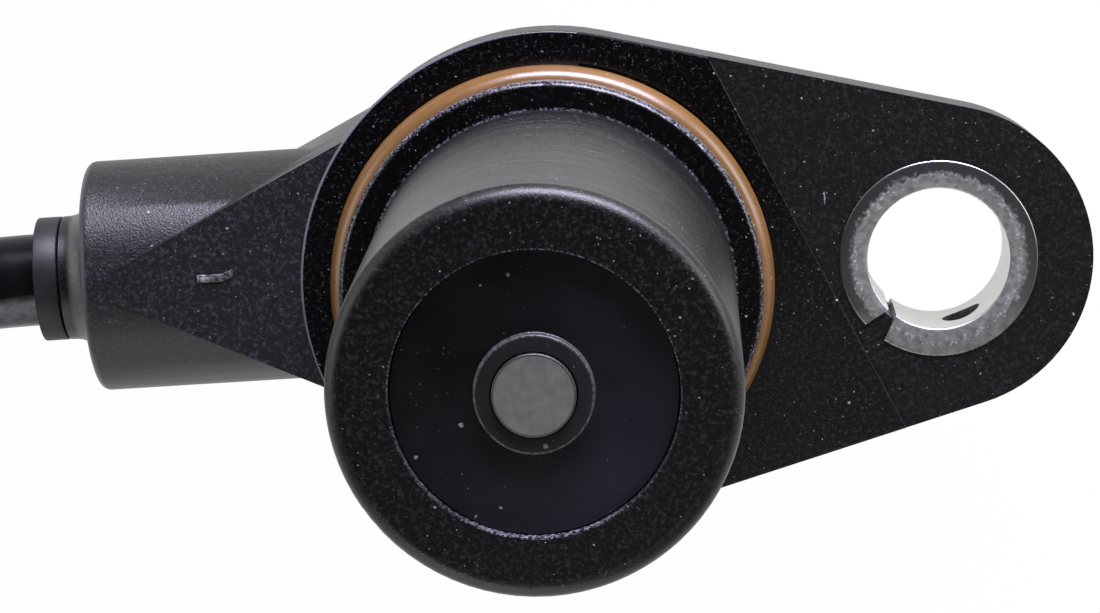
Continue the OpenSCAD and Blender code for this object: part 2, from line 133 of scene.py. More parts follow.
# %% Finishing helpers
def apply_modifier(piece, kind, **settings):
    make_active(piece)
    modifier = piece.modifiers.new(kind.title(), kind)
    for key, value in settings.items():
        setattr(modifier, key, value)
    bpy.ops.object.modifier_apply(modifier=modifier.name)


def round_edges(piece, width, sharp=40, **settings):
    apply_modifier(
        piece, "BEVEL", width=width * MM, segments=2, limit_method="ANGLE", angle_limit=math.radians(sharp),
        **settings,
    )


def smooth_shading(piece, angle):
    make_active(piece)
    bpy.ops.object.shade_smooth_by_angle(angle=math.radians(angle))
    apply_modifier(piece, "WEIGHTED_NORMAL", keep_sharp=True)


def hand_over(piece, name, slot, *stands_for):
    piece.name = name
    piece.data.name = name
    make_active(piece)
    bpy.ops.object.transform_apply(location=True, rotation=True, scale=True)
    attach(piece, "root")
    if stands_for:
        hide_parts(*stands_for)
    print(name, "has", len(piece.data.polygons), "faces")
    return piece


# %% [markdown]
# ## Pieces that keep their CAD shape
# A moulded or rolled piece never has a perfectly sharp edge, and that thin rounded edge is what catches
# the light. The CAD mesh itself may not be changed, so we copy it, merge its loose triangles, dissolve the
# flat ones into plain faces, bevel the sharp edges by a few hundredths of a millimetre and shade the rest
# smooth. On the housing only the slanted step line across its ear is bevelled, and its other edges stay as
# the CAD has them.

# %% Softened copies of CAD nodes
MERGE_WITHIN, FLAT_WITHIN, LINE_ROUNDING = 0.002 * MM, math.radians(0.6), 0.06 * MM


def softened_copy(node, name, slot, edge, line=None):
    piece = bpy.data.objects.new(name, nodes[node].data.copy())
    bpy.context.scene.collection.objects.link(piece)
    piece.data.materials.clear()
    make_active(piece)
    bpy.ops.mesh.customdata_custom_splitnormals_clear()
    bpy.ops.object.mode_set(mode="EDIT")
    bpy.ops.mesh.select_all(action="SELECT")
    bpy.ops.mesh.remove_doubles(threshold=MERGE_WITHIN)
    if edge:
        bpy.ops.mesh.dissolve_limited(angle_limit=FLAT_WITHIN)
    if line:
        select_sharp_edges(piece, line)
        bpy.ops.mesh.bevel(offset=LINE_ROUNDING, segments=2, affect="EDGES", clamp_overlap=False)
    bpy.ops.object.mode_set(mode="OBJECT")
    if edge:
        round_edges(piece, edge, sharp=32, use_clamp_overlap=False)
    smooth_shading(piece, 50)
    return hand_over(piece, name, slot, node)


STEP_ANGLE, STEP_DISTANCE = math.radians(24.5), 12 * MM
STEP_NORMAL = Vector((math.cos(STEP_ANGLE), math.sin(STEP_ANGLE)))


def on_step_line(point):
    return abs(point.z) < 0.01 * MM and abs(point.xy.dot(STEP_NORMAL) - STEP_DISTANCE) < 0.02 * MM


housing = softened_copy("housing", "sensor_housing", "housing_plastic", 0, line=on_step_line)
bobbin = softened_copy("bobbin", "coil_former", "bobbin_plastic", 0.05)
pole = softened_copy("pole_pin", "pole_piece", "pole_iron", 0.05)
grommet = softened_copy("cable_grommet", "lead_grommet", "grommet_rubber", 0.08)
shell = softened_copy("connector_shell", "plug_shell", "connector_plastic", 0.12)
boot = softened_copy("connector_boot", "plug_boot", "grommet_rubber", 0.12)
lock = softened_copy("contact_lock", "blade_lock", "lock_plastic", 0.1)
blades = [softened_copy(f"contact_{i}", f"blade_{i}", "contact_metal", 0.08) for i in (1, 2, 3)]

# %% [markdown]
# ## Bushing
# The steel bushing is a strip rolled into a sleeve, so its two ends leave a narrow wedge open. We draw the
# strip's section as one plane, bevel its corners and spin it almost all the way round the bolt's axis.
# Turning the inner corners of both ends a little closes the wedge towards the bore. A cylinder then cuts
# the small grip hole that the plastic flows into.

# %% Rolled strip
BOLT_AXIS, BORE_R, SLEEVE_R = Vector((19.05, 0, 0)) * MM, 3.5 * MM, 4.89 * MM
STRIP_R, STRIP_CORNER, STRIP_STEPS = (BORE_R + SLEEVE_R) / 2, 0.1 * MM, 116
STRIP_START, STRIP_SWEEP, END_LEAN = math.radians(-126.4), math.radians(345.8), math.radians(3)
sleeve_low, sleeve_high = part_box("bushing")
sleeve_middle = (sleeve_low.z + sleeve_high.z) / 2
start_clean()
bpy.ops.mesh.primitive_plane_add(size=1, location=(STRIP_R, 0, sleeve_middle), rotation=(math.pi / 2, 0, 0))
bushing = bpy.context.object
bushing.scale = (SLEEVE_R - BORE_R, sleeve_high.z - sleeve_low.z, 1)
bpy.ops.object.transform_apply(location=True, rotation=True, scale=True)
bpy.ops.object.mode_set(mode="EDIT")
bpy.ops.mesh.select_all(action="SELECT")
bpy.ops.mesh.bevel(offset=STRIP_CORNER, segments=3, affect="VERTICES", clamp_overlap=False)
bpy.ops.mesh.select_all(action="SELECT")
bpy.ops.mesh.spin(steps=STRIP_STEPS, angle=STRIP_SWEEP, center=(0, 0, 0), axis=(0, 0, -1))


def near_bore(point):
    return point.xy.length < STRIP_R


def away_from(point, angle):
    return abs((math.atan2(point.y, point.x) - angle + math.pi) % math.tau - math.pi)


for end, lean in ((0, END_LEAN), (STRIP_SWEEP, -END_LEAN)):
    select_points(bushing, lambda point: near_bore(point) and away_from(point, end) < 0.01)
    bpy.ops.transform.rotate(value=lean, orient_axis="Z", center_override=(0, 0, 0))
bpy.ops.mesh.select_all(action="SELECT")
bpy.ops.mesh.remove_doubles(threshold=0.001 * MM)
bpy.ops.mesh.normals_make_consistent(inside=False)
bpy.ops.object.mode_set(mode="OBJECT")
bushing.rotation_euler = (0, 0, STRIP_START)
bushing.location = BOLT_AXIS
bpy.ops.object.transform_apply(location=True, rotation=True)


def split_ends(piece, inside):
    around = [v.co - BOLT_AXIS for v in piece.data.vertices]
    angles = sorted(math.degrees(math.atan2(p.y, p.x)) for p in around if near_bore(p) == inside)
    return max(zip(angles, angles[1:]), key=lambda pair: pair[1] - pair[0])


print("split at the bore:", split_ends(bushing, True), "outside:", split_ends(bushing, False))

# %% Grip hole
GRIP_ANGLE, GRIP_R, DRILL_LENGTH = math.radians(-71), 1 * MM, 4 * MM
grip_at = BOLT_AXIS + SLEEVE_R * Vector((math.cos(GRIP_ANGLE), math.sin(GRIP_ANGLE), 0))
grip_at.z = sleeve_middle
start_clean()
bpy.ops.mesh.primitive_cylinder_add(
    radius=GRIP_R, depth=DRILL_LENGTH, vertices=40, rotation=(0, math.pi / 2, GRIP_ANGLE), location=grip_at
)
drill = bpy.context.object
apply_modifier(bushing, "BOOLEAN", object=drill, operation="DIFFERENCE", solver="EXACT")
bpy.data.objects.remove(drill)
smooth_shading(bushing, 40)
hand_over(bushing, "rolled_bushing", "bushing_steel", "bushing")

# %% [markdown]
# ## Mould mark
# A small raised bar with a nub stands on the web, where an ejector or an insert of the mould met the
# plastic. It is a cube pulled flat, with one end face drawn out in two steps to the nub and all its edges
# rounded.

# %% Mould mark
MARK_LOW, MARK_HIGH = Vector((-17.6, 1.08, -0.2)) * MM, Vector((-16.35, 1.46, -0.08)) * MM
NUB_STEPS = Vector((0.35, 0.12, 0)) * MM, Vector((0.2, 0.12, -0.04)) * MM
start_clean()
bpy.ops.mesh.primitive_cube_add(size=1, location=(MARK_LOW + MARK_HIGH) / 2)
mark = bpy.context.object
mark.scale = MARK_HIGH - MARK_LOW
bpy.ops.object.transform_apply(location=True, scale=True)
bpy.ops.object.mode_set(mode="EDIT")
select_faces(mark, lambda face: face.normal.x > 0.9)
for step in NUB_STEPS:
    bpy.ops.mesh.extrude_region_move(TRANSFORM_OT_translate={"value": step})
bpy.ops.object.mode_set(mode="OBJECT")
round_edges(mark, 0.04)
smooth_shading(mark, 50)
hand_over(mark, "mould_mark", "housing_plastic")

# %% [markdown]
# ## Seal
# The O-ring is a rubber cord bent to a ring and squeezed in a two-part mould, which leaves a fine ridge
# around its outside and inside. A torus gives the ring. We pick the faces along the two ridges and push
# them out a little.

# %% O-ring
SEAL_CORD, SEAL_RING = 1.7 * MM, 10.05 * MM
RIDGE_REACH, RIDGE_HEIGHT = 0.09 * MM, 0.035 * MM
seal_low, seal_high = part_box("o_ring")
seal_middle = (seal_low + seal_high) / 2
start_clean()
bpy.ops.mesh.primitive_torus_add(
    location=seal_middle, major_radius=SEAL_RING, minor_radius=SEAL_CORD / 2,
    major_segments=192, minor_segments=48,
)
seal = bpy.context.object
bpy.ops.object.transform_apply(location=True)
bpy.ops.object.mode_set(mode="EDIT")
select_faces(seal, lambda face: abs(face.center.z - seal_middle.z) < RIDGE_REACH)
bpy.ops.transform.shrink_fatten(value=RIDGE_HEIGHT)
bpy.ops.object.mode_set(mode="OBJECT")
smooth_shading(seal, 60)
hand_over(seal, "seal_ring", "seal_rubber", "o_ring")

# %% [markdown]
# ## Lead
# The lead is a screened cable of one fixed length. The photograph shows only its first few millimetres, so
# the rest is put away beside the sensor: two turns flat on the table, the last part in the valley on top
# of them, then straight into the plug. One Bezier curve with a round bevel is the simplest way to get a
# tube that keeps its thickness in every bend. The route below is in millimetres, and the turns of the coil
# are in degrees.

# %% Route of the coil
CABLE_D, BACK_Z = 4.7, -12
TABLE_Z = BACK_Z + CABLE_D / 2
COIL_X, COIL_Y, COIL_START, COIL_SWEEP, COIL_POINTS = -60, 16, -52.0, 938.0, 66
OUTER_TURN, INNER_TURN, TOP_TURN = 26.4, 21.6, 24.0
STEP_IN, STEP_UP, STEP_OUT = (258, 356), (583, 668), (590, 700)
VALLEY_RISE, CROSS_LIFT, SETTLE_LIFT, STRAP_LIFT = 4.1, 0.66, 0.3, 0.9
CROSS_AT, SETTLE_AT, STRAP_AT, STRAP_REACH = (678, 85), (745, 60), (108, 468, 828), 60


def ease(start, end, value):
    t = min(max((value - start) / (end - start), 0), 1)
    return t * t * t * (t * (6 * t - 15) + 10)


def hump(middle, reach, value):
    t = min(abs(value - middle) / reach, 1)
    return (1 - t * t) ** 2


def coil_point(turned):
    angle = math.radians(COIL_START - turned)
    radius = OUTER_TURN + (INNER_TURN - OUTER_TURN) * ease(*STEP_IN, turned)
    radius += (TOP_TURN - INNER_TURN) * ease(*STEP_OUT, turned)
    z = TABLE_Z + VALLEY_RISE * ease(*STEP_UP, turned)
    z += CROSS_LIFT * hump(*CROSS_AT, turned)
    z += SETTLE_LIFT * hump(*SETTLE_AT, turned)
    z += STRAP_LIFT * sum(hump(over_strap, STRAP_REACH, turned) for over_strap in STRAP_AT)
    return Vector((COIL_X + radius * math.cos(angle), COIL_Y + radius * math.sin(angle), z))


coil = [coil_point(COIL_SWEEP * i / (COIL_POINTS - 1)) for i in range(COIL_POINTS)]
print("coil points:", len(coil), "from", coil[0], "to", coil[-1])

# %% Route from the grommet to the plug
EXIT_BEND, EXIT_HEADING, BEND_POINTS = 26.2, 184.4, 9
EXIT_Y, EXIT_Z, FALL_LENGTH = 0.8, -6.0, 25.0
STRAIGHT_X = (-20, -21.6, -23.2, -24.8, -26.5)
PLUG_X = (-57, -53.5, -50, -46.5, -43.3, -40.2, -37, -34, -31, -28, -25)
PLUG_Y, PLUG_Z, PLUG_CROSS = 40, -5.6, (-50, 14)


def fallen(run):
    t = min(max(run / FALL_LENGTH, 0), 1)
    return (EXIT_Z - TABLE_Z) * (2 * t * t if t < 0.5 else 1 - 2 * (1 - t) ** 2)


route = [Vector((x, EXIT_Y, EXIT_Z)) for x in STRAIGHT_X]
heading_in, heading_out = math.radians(EXIT_HEADING), math.radians(COIL_START + 270)
for i in range(BEND_POINTS):
    heading = heading_in + (heading_out - heading_in) * i / BEND_POINTS
    along = math.sin(heading) - math.sin(heading_out)
    aside = math.cos(heading_out) - math.cos(heading)
    route.append(Vector((coil[0].x, coil[0].y, EXIT_Z)) + EXIT_BEND * Vector((along, aside, 0)))
route += coil

# The bend starts at the height of the grommet and the coil at that of the table, so the bend's points are
# lowered and the coil's first points are raised to one falling line.
first_bend, first_coil, run = len(STRAIGHT_X), len(STRAIGHT_X) + BEND_POINTS, 0.0
for i in range(first_bend, len(route)):
    run += (route[i].xy - route[i - 1].xy).length
    if i < first_coil:
        route[i].z -= fallen(run)
    else:
        route[i].z += (EXIT_Z - TABLE_Z) - fallen(run)
route += [Vector((x, PLUG_Y, PLUG_Z + CROSS_LIFT * hump(*PLUG_CROSS, x))) for x in PLUG_X]
route_length = sum((a - b).length for a, b in zip(route, route[1:]))
print("route points:", len(route), "length:", round(route_length, 1), "mm")

# %% Lead curve
lead_line = bpy.data.curves.new("lead", "CURVE")
lead_line.dimensions = "3D"
lead_line.bevel_depth = 1.0
lead_line.bevel_resolution = 10
lead_line.resolution_u = 8
lead_line.use_fill_caps = True
spline = lead_line.splines.new("BEZIER")
spline.bezier_points.add(len(route) - 1)
for knot, place in zip(spline.bezier_points, route):
    knot.co = place * MM
    knot.radius = CABLE_D / 2 * MM
    knot.handle_left_type = knot.handle_right_type = "AUTO"
lead = bpy.data.objects.new("lead", lead_line)
bpy.context.scene.collection.objects.link(lead)
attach(lead, "root")
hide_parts("cable", "cable_coil", "cable_tail")

# %% [markdown]
# ## Cable tie
# A nylon zip tie keeps the turns together. Its strap is a flat band around the bundle, so we draw the
# bundle's outline as a plane with rounded corners, keep only its rim, extrude the rim to the strap's width
# and give it thickness. The head is a block with bevelled edges and a slot, and the strap's end is a short
# tongue.

# %% Strap
TIE_ANGLE, STRAP_W, STRAP_T = math.radians(200), 2.6 * MM, 0.9 * MM
BUNDLE_W, BUNDLE_H, BUNDLE_R, BUNDLE_CORNER = 9.8 * MM, 8.9 * MM, 24 * MM, 2.2 * MM
start_clean()
bpy.ops.mesh.primitive_plane_add(size=1, rotation=(math.pi / 2, 0, 0))
strap = bpy.context.object
strap.scale = (BUNDLE_W, BUNDLE_H, 1)
bpy.ops.object.transform_apply(rotation=True, scale=True)
bpy.ops.object.mode_set(mode="EDIT")
bpy.ops.mesh.select_all(action="SELECT")
bpy.ops.mesh.bevel(offset=BUNDLE_CORNER, segments=8, affect="VERTICES", clamp_overlap=False)
bpy.ops.mesh.select_mode(type="FACE")
bpy.ops.mesh.select_all(action="SELECT")
bpy.ops.mesh.delete(type="ONLY_FACE")
bpy.ops.mesh.select_mode(type="EDGE")
bpy.ops.mesh.select_all(action="SELECT")
bpy.ops.mesh.extrude_edges_move(TRANSFORM_OT_translate={"value": (0, STRAP_W, 0)})
bpy.ops.mesh.select_all(action="SELECT")
bpy.ops.transform.translate(value=(0, -STRAP_W / 2, 0))
bpy.ops.mesh.normals_make_consistent(inside=False)
bpy.ops.object.mode_set(mode="OBJECT")
apply_modifier(strap, "SOLIDIFY", thickness=STRAP_T, offset=1)
round_edges(strap, 0.2)
print("strap has", len(strap.data.polygons), "faces")

# %% Head and tongue
HEAD, HEAD_WALL, SLOT_DEPTH = Vector((3.4, 4.4, 4.6)) * MM, 0.9 * MM, 0.8 * MM
TONGUE_LENGTH, TONGUE_OUT = 1.6 * MM, 0.4 * MM
head_x = BUNDLE_W / 2 + STRAP_T + HEAD.x / 2
start_clean()
bpy.ops.mesh.primitive_cube_add(size=1, location=(head_x, 0, 0))
head = bpy.context.object
head.scale = HEAD
bpy.ops.object.transform_apply(location=True, scale=True)
bpy.ops.object.mode_set(mode="EDIT")
select_faces(head, lambda face: abs(face.normal.z) > 0.9)
bpy.ops.mesh.inset(thickness=HEAD_WALL, use_individual=True)
bpy.ops.mesh.extrude_region_shrink_fatten(TRANSFORM_OT_shrink_fatten={"value": -SLOT_DEPTH})
bpy.ops.object.mode_set(mode="OBJECT")
round_edges(head, 0.3)

start_clean()
bpy.ops.mesh.primitive_cube_add(size=1, location=(head_x, 0, HEAD.z / 2 + TONGUE_OUT))
tongue = bpy.context.object
tongue.scale = (STRAP_T, STRAP_W, TONGUE_LENGTH)
bpy.ops.object.transform_apply(location=True, scale=True)
round_edges(tongue, 0.2)

# %% Zip tie in its place
make_active(strap)
head.select_set(True)
tongue.select_set(True)
bpy.ops.object.join()
tie = bpy.context.object
tie.rotation_euler = (0, 0, TIE_ANGLE)
outwards = Vector((math.cos(TIE_ANGLE), math.sin(TIE_ANGLE), 0))
tie.location = Vector((COIL_X, COIL_Y, 0)) * MM + BUNDLE_R * outwards
tie.location.z = BACK_Z * MM + STRAP_T + BUNDLE_H / 2
bpy.ops.object.transform_apply(location=True, rotation=True)
smooth_shading(tie, 50)
hand_over(tie, "zip_tie", "tie_nylon", "cable_tie")

# %% [markdown]
# ## Studio
# The photograph has a pure white ground and light that comes from all round the sides, while the direction
# of the camera stays dim: that is why the faces that look at us are nearly black and every slanted edge is
# bright. A world whose colour runs from light grey at the horizon to nearly black overhead does this. One
# large soft lamp at the top of the picture adds the highlights, and five weak ones lift the sides, the
# front and the tip.


# %% Node helpers
def new_tree(owner):
    owner.use_nodes = True
    owner.node_tree.nodes.clear()
    return owner.node_tree


def fill_in(tree, node, inputs):
    for key, value in inputs.items():
        if isinstance(value, bpy.types.NodeSocket):
            tree.links.new(value, node.inputs[key])
        else:
            node.inputs[key].default_value = value


def add(tree, kind, inputs=None, **settings):
    made = tree.nodes.new(kind)
    for key, value in settings.items():
        setattr(made, key, value)
    fill_in(tree, made, inputs or {})
    return made


def compute(tree, operation, *values):
    return add(tree, "ShaderNodeMath", dict(enumerate(values)), operation=operation).outputs[0]


def product(tree, first, *others):
    for other in others:
        first = compute(tree, "MULTIPLY", first, other)
    return first


def largest(tree, first, *others):
    for other in others:
        first = compute(tree, "MAXIMUM", first, other)
    return first


def remap(tree, value, low, high, to_low=0.0, to_high=1.0):
    ranges = {"From Min": low, "From Max": high, "To Min": to_low, "To Max": to_high}
    return add(tree, "ShaderNodeMapRange", {"Value": value, **ranges}).outputs[0]


def mix_colours(tree, share, first, second):
    return add(tree, "ShaderNodeMix", {0: share, 6: first, 7: second}, data_type="RGBA").outputs[2]


def axes(tree, vector):
    return add(tree, "ShaderNodeSeparateXYZ", {0: vector}).outputs


# %% Floor
FLOOR_Z, FLOOR_GLOW = -12.02 * MM, 0.98
start_clean()
bpy.ops.mesh.primitive_plane_add(size=6, location=(0, 0, FLOOR_Z))
floor = bpy.context.object
floor.name = "floor"
paper = bpy.data.materials.new("white_paper")
tree = new_tree(paper)
path = add(tree, "ShaderNodeLightPath").outputs
seen = largest(tree, path["Is Glossy Ray"], path["Is Transmission Ray"], path["Is Camera Ray"])
matte = add(tree, "ShaderNodeBsdfDiffuse", {"Color": (0.86, 0.86, 0.86, 1)})
white = add(tree, "ShaderNodeEmission", {"Color": (1, 1, 1, 1), "Strength": 1.0})
share = product(tree, seen, FLOOR_GLOW)
mix = add(tree, "ShaderNodeMixShader", {0: share, 1: matte.outputs[0], 2: white.outputs[0]})
add(tree, "ShaderNodeOutputMaterial", {"Surface": mix.outputs[0]})
floor.data.materials.append(paper)
print("floor at", FLOOR_Z / MM, "mm")

# %% World and lamps
HORIZON, OVERHEAD = (0.57, 0.57, 0.58, 1), (0.033, 0.033, 0.035, 1)
HORIZON_HEIGHT, OVERHEAD_HEIGHT = 0.08, 0.9
world = bpy.data.worlds.new("studio")
bpy.context.scene.world = world
tree = new_tree(world)
height = axes(tree, add(tree, "ShaderNodeTexCoord").outputs["Generated"])["Z"]
sky = mix_colours(tree, remap(tree, height, HORIZON_HEIGHT, OVERHEAD_HEIGHT), HORIZON, OVERHEAD)
light = add(tree, "ShaderNodeBackground", {"Color": sky, "Strength": 1.0})
ground = add(tree, "ShaderNodeBackground", {"Color": (1, 1, 1, 1), "Strength": 1.0})
camera_ray = add(tree, "ShaderNodeLightPath").outputs["Is Camera Ray"]
mix = add(tree, "ShaderNodeMixShader", {0: camera_ray, 1: light.outputs[0], 2: ground.outputs[0]})
add(tree, "ShaderNodeOutputWorld", {"Surface": mix.outputs[0]})


def soft_lamp(name, place, aim_z, size, power, colour=(1, 1, 1)):
    data = bpy.data.lights.new(name, "AREA")
    data.shape = "RECTANGLE"
    data.size, data.size_y = size
    data.energy = power
    data.color = colour
    lamp = bpy.data.objects.new(name, data)
    lamp.location = place
    lamp.rotation_euler = (Vector((0, 0, aim_z)) - Vector(place)).to_track_quat("-Z", "Y").to_euler()
    bpy.context.scene.collection.objects.link(lamp)
    print(name, "with", power, "W")


soft_lamp("top_softbox", (0.1, 0.44, 0.135), 0.01, (0.38, 0.2), 7.6, (0.84, 0.79, 1.0))
soft_lamp("left_softbox", (-0.42, 0.1, 0.12), 0.01, (0.3, 0.2), 0.4, (0.98, 0.97, 1.0))
soft_lamp("right_softbox", (0.42, 0.16, 0.1), 0.01, (0.3, 0.2), 1.1, (0.93, 0.94, 1.0))
soft_lamp("front_fill", (-0.1, -0.42, 0.1), 0.01, (0.5, 0.1), 0.3)
soft_lamp("front_strip", (-0.12, -0.36, 0.27), 0.01, (0.3, 0.06), 0.4, (0.93, 0.92, 1.0))
soft_lamp("overhead_fill", (0.08, -0.26, 0.52), 0.02, (0.15, 0.15), 0.085)

# %% [markdown]
# ## Shared surface effects
# Grain, dust and scratches turn up on several materials, so each is made once as a node group. A group
# gives back a mask or a normal, and each material decides what to do with it. All of them take Object
# coordinates: every piece sits at the origin unturned, so those coordinates are the part's own metres and
# a grain of 0.1 mm has a scale of about 10000.


# %% Group helpers
def node_group(name, inputs, output, kind):
    group = bpy.data.node_groups.new(name, "ShaderNodeTree")
    group.interface.new_socket("Vector", in_out="INPUT", socket_type="NodeSocketVector")
    for label, value in inputs.items():
        socket = group.interface.new_socket(label, in_out="INPUT", socket_type="NodeSocketFloat")
        socket.default_value = value
    group.interface.new_socket(output, in_out="OUTPUT", socket_type=kind)
    return group, add(group, "NodeGroupInput").outputs, add(group, "NodeGroupOutput").inputs[output]


def use_group(tree, group, **inputs):
    made = tree.nodes.new("ShaderNodeGroup")
    made.node_tree = group
    fill_in(tree, made, inputs)
    return made.outputs[0]


def noise(tree, vector, scale, detail=3.0, roughness=0.6):
    inputs = {"Vector": vector, "Scale": scale, "Detail": detail, "Roughness": roughness}
    return add(tree, "ShaderNodeTexNoise", inputs).outputs[0]


def bump(tree, height, distance, **more):
    inputs = {"Height": height, "Distance": distance, "Strength": 1.0, **more}
    return add(tree, "ShaderNodeBump", inputs).outputs[0]


# %% Grain and scratches
grain, given, result = node_group(
    "moulded_grain", {"Scale": 7000.0, "Depth": 2e-5}, "Normal", "NodeSocketVector"
)
speckle = noise(grain, given["Vector"], given["Scale"], 2.0)
grain.links.new(bump(grain, speckle, given["Depth"]), result)

scuffs, given, result = node_group("fine_scratches", {"Low": 0.56, "High": 0.8}, "Mask", "NodeSocketFloat")
streak = noise(scuffs, given["Vector"], 1.0, 4.0, 0.65)
scuffs.links.new(remap(scuffs, streak, given["Low"], given["High"]), result)


def grain_on(tree, place, scale, depth):
    return use_group(tree, grain, Vector=place, Scale=scale, Depth=depth)


def scratches_on(tree, place, low, high):
    return use_group(tree, scuffs, Vector=place, Low=low, High=high)


# %% Dust
DUST_COLOUR = (0.5, 0.51, 0.53, 1)
dust, given, result = node_group(
    "dust_specks", {"Scale": 1300.0, "Size": 0.075, "Share": 0.8}, "Mask", "NodeSocketFloat"
)
shake = {"Vector": given["Vector"], "Scale": 9000.0, "Detail": 1.0}
wobble = add(dust, "ShaderNodeTexNoise", shake).outputs["Color"]
wobble = add(dust, "ShaderNodeVectorMath", {0: wobble, 1: (0.5, 0.5, 0.5)}, operation="SUBTRACT").outputs[0]
wobble = add(dust, "ShaderNodeVectorMath", {0: wobble, "Scale": 1.2e-4}, operation="SCALE").outputs[0]
ragged = add(dust, "ShaderNodeVectorMath", {0: given["Vector"], 1: wobble}, operation="ADD").outputs[0]
cells = add(dust, "ShaderNodeTexVoronoi", {"Vector": ragged, "Scale": given["Scale"]}).outputs
chance = add(dust, "ShaderNodeSeparateColor", {0: cells["Color"]}).outputs
drifts = noise(dust, given["Vector"], 260.0, 2.0, 0.5)
share = product(dust, given["Share"], remap(dust, drifts, 0.38, 0.62, 0.25, 1.0))
radius = product(dust, given["Size"], remap(dust, chance[1], 0.0, 1.0, 0.35, 1.3))
inside = remap(dust, cells["Distance"], radius, product(dust, radius, 0.55))
picked = compute(dust, "LESS_THAN", chance[0], share)
lit = product(dust, picked, remap(dust, chance[2], 0.0, 1.0, 0.35, 1.0))
dust.links.new(product(dust, inside, lit), result)


def dust_on(tree, place, scale, size, share):
    return use_group(tree, dust, Vector=place, Scale=scale, Size=size, Share=share)


print("node groups:", [group.name for group in bpy.data.node_groups])

# %% [markdown]
# ## Materials
# Every material is one Principled shader. What varies over a surface (colour, roughness, normal) comes
# from textures and from the groups above. What is constant is set on the shader's own sockets, because an
# exporter carries only plain numbers there. Masks that belong to one place, like the rim of the lip, are
# measured in the part's own millimetres.


# %% Material helpers
def new_material(name, **fixed):
    material = bpy.data.materials.new(name)
    tree = new_tree(material)
    constants = {key.replace("_", " "): value for key, value in fixed.items()}
    shader = add(tree, "ShaderNodeBsdfPrincipled", constants)
    add(tree, "ShaderNodeOutputMaterial", {"Surface": shader.outputs[0]})
    return material, tree, shader.inputs


def feed(tree, surface, **varying):
    for key, value in varying.items():
        tree.links.new(value, surface[key.replace("_", " ")])


def paint(material, *pieces):
    for piece in pieces:
        if not piece.material_slots:
            piece.data.materials.append(material)
        for slot in piece.material_slots:
            slot.material = material
    print(material.name, "on", [piece.name for piece in pieces])


def part_coordinates(tree, shift=(0, 0, 0), scale=(1, 1, 1), turn=(0, 0, 0)):
    place = add(tree, "ShaderNodeTexCoord").outputs["Object"]
    fitted = {"Vector": place, "Location": shift, "Rotation": turn, "Scale": scale}
    return add(tree, "ShaderNodeMapping", fitted).outputs[0]


def distance_from_axis(tree, x=0.0):
    flat = part_coordinates(tree, shift=(-x, 0, 0), scale=(1, 1, 0))
    return add(tree, "ShaderNodeVectorMath", {0: flat}, operation="LENGTH").outputs["Value"]


def mix_values(tree, share, first, second):
    return add(tree, "ShaderNodeMix", {0: share, 2: first, 3: second}, data_type="FLOAT").outputs[0]


def above(tree, value, low):
    return compute(tree, "GREATER_THAN", value, low * MM)


def below(tree, value, high):
    return compute(tree, "LESS_THAN", value, high * MM)


def between(tree, value, low, high):
    return product(tree, above(tree, value, low), below(tree, value, high))


def fade(tree, value, none_at, full_at, least=0.0):
    return remap(tree, value, none_at * MM, full_at * MM, least, 1.0)


# %% [markdown]
# ### Black nylon: zones
# The housing is glass-filled nylon. The mould's spark-eroded steel gave the flange, the web and the neck a
# grain, while the barrel and the neck's end came out smoother and the pad around the seal was polished.
# Pale rims are painted on the lip, on the left of the pad's step and inside the tip: painted highlights
# where those edges catch the light. A pale line of dust lies around the barrel's foot.
# Height, and distance from the barrel's axis, are enough to tell these apart.

# %% Zones of the housing
nylon, tree, surface = new_material("black_nylon", Specular_IOR_Level=0.4)
place = part_coordinates(tree)
x, y, z = axes(tree, place)
radial = distance_from_axis(tree)
over_ear = above(tree, z, -0.12)
beside_barrel = product(tree, over_ear, above(tree, radial, 9.06))
on_barrel = compute(tree, "SUBTRACT", over_ear, beside_barrel)
# Painted reflection: the pad's polished black fades out towards the lower right, so the pad is painted
# darkest at the upper left, where it mirrors the dark barrel.
lower_right = fade(tree, compute(tree, "SUBTRACT", product(tree, x, 0.5), y), 0, 9)
painted_pad_reflection = product(tree, lower_right, below(tree, z, 1))
polished = product(tree, beside_barrel, remap(tree, painted_pad_reflection, 0.0, 1.0, 1.0, 0.25))
on_lip = product(tree, beside_barrel, above(tree, z, 1.9))
ear_step = product(tree, between(tree, z, -0.14, -0.01), above(tree, x, 2))
to_neck = fade(tree, x, 11, -8)
on_web = product(tree, to_neck, above(tree, z, -0.4))
neck_side = product(tree, fade(tree, x, -10, -12), fade(tree, z, -0.3, -0.6))
past_neck = fade(tree, x, -23.1, -23.5)
# The pale end ring stops short of the cove beside the grommet, which stays dark as painted shade.
neck_end = product(tree, past_neck, fade(tree, x, -24.55, -24.3))
print("zones of the housing:", len(tree.nodes), "nodes")

# %% Rims of the housing
# Painted highlights: the lip's edge and the tip's inner rim are painted pale where they catch the light,
# the tip's rim most at its lower side. The pale line at the barrel's foot is dust.
lip_rim = product(tree, on_lip, fade(tree, radial, 10.13, 10.32), 0.6)
foot_line = product(tree, between(tree, radial, 8.96, 9.1), between(tree, z, 2.9, 3.12), 0.5)
tip_rim = product(tree, between(tree, radial, 6.1, 6.31), above(tree, z, 27.4))
tip_rim = product(tree, tip_rim, fade(tree, y, -4.9, -6.1, 0.3))
# Painted highlight on the left of the pad's step.
pad_rim = product(tree, between(tree, radial, 12.38, 12.51), between(tree, z, -0.155, 0.1))
pad_rim = product(tree, pad_rim, fade(tree, x, 0, -4), 0.4)
rim_breakup = remap(tree, noise(tree, place, 7500.0, 2.0), 0.47, 0.62)
rims = product(tree, largest(tree, lip_rim, foot_line, tip_rim), rim_breakup)
rims = largest(tree, rims, pad_rim)
print("zones and rims of the housing:", len(tree.nodes), "nodes")

